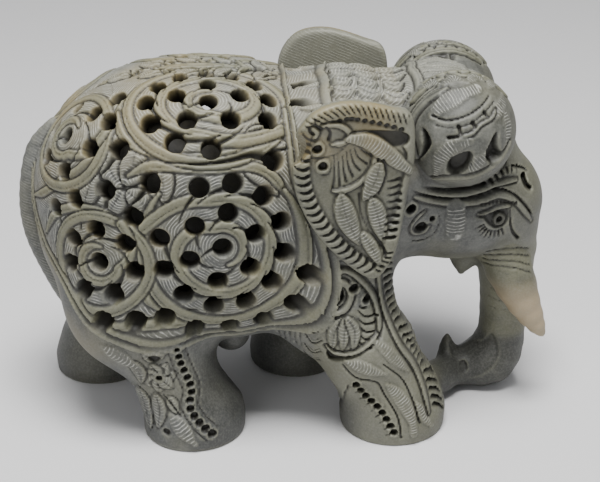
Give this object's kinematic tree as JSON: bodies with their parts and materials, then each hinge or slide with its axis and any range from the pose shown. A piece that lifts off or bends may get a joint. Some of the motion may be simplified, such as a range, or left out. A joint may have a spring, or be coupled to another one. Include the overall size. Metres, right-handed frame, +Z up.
{
  "type": "elephant sculpture",
  "caption": "Carved soapstone elephant, walking, with a hollow barrel pierced by scrolls of round holes, a smaller figure left standing inside, flared ears, tusks and a curled trunk.",
  "frame": {"origin": "on the ground, below the middle of the figure's length and width", "axes": "+X forward along the body to the tusks, +Y to the animal's left, +Z up"},
  "size_m": [0.1586, 0.0796, 0.1088],
  "materials": {
    "soapstone": "matte carved soapstone, partly waxed and worn"
  },
  "bodies": {
    "root": {"elephant": "soapstone"}
  },
  "joints": []
}
